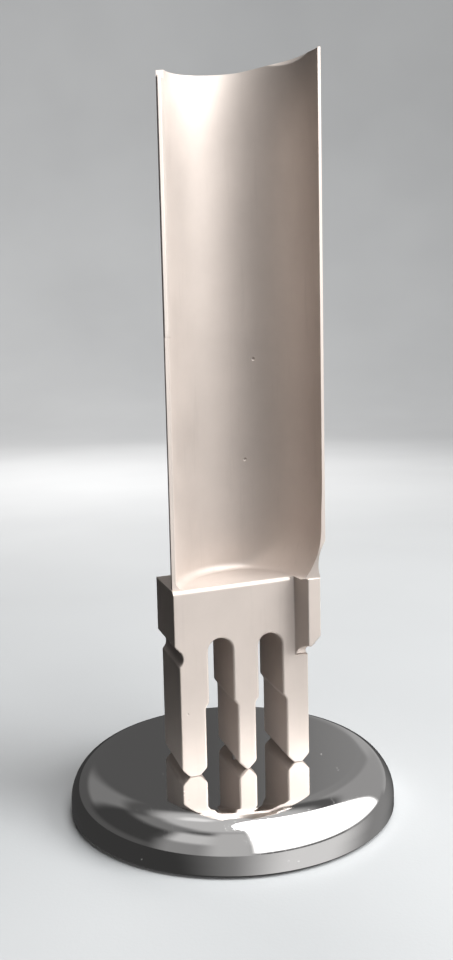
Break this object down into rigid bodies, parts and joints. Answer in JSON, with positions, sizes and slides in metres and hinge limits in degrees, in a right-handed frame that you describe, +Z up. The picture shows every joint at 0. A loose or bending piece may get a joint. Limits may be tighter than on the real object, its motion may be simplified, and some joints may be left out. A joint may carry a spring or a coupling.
{
  "type": "turbine blade display stand",
  "caption": "Steam-turbine rotor blade with a forked root, stood upright on a round polished base disc as a desk display.",
  "frame": {"origin": "centre of the underside of the base pad, on the surface the stand is put down on", "axes": "+Z up along the base disc's axis, +X along the row of fingers towards the airfoil's trailing edge, -Y towards the open side of the airfoil's hollow"},
  "size_m": [0.13, 0.13, 0.2901],
  "materials": {
    "blade_steel": "satin, bead blasted",
    "strip_alloy": "satin, ground",
    "polished_steel": "mirror polished",
    "pad_rubber": "matt",
    "zinc_steel": "zinc plated"
  },
  "bodies": {
    "root": {"blade": "blade_steel", "leading_edge_strip": "strip_alloy", "base_disc": "polished_steel", "base_pad": "pad_rubber", "blade_screws": "zinc_steel", "spring_washers": "zinc_steel", "flat_washers": "zinc_steel"}
  },
  "joints": []
}
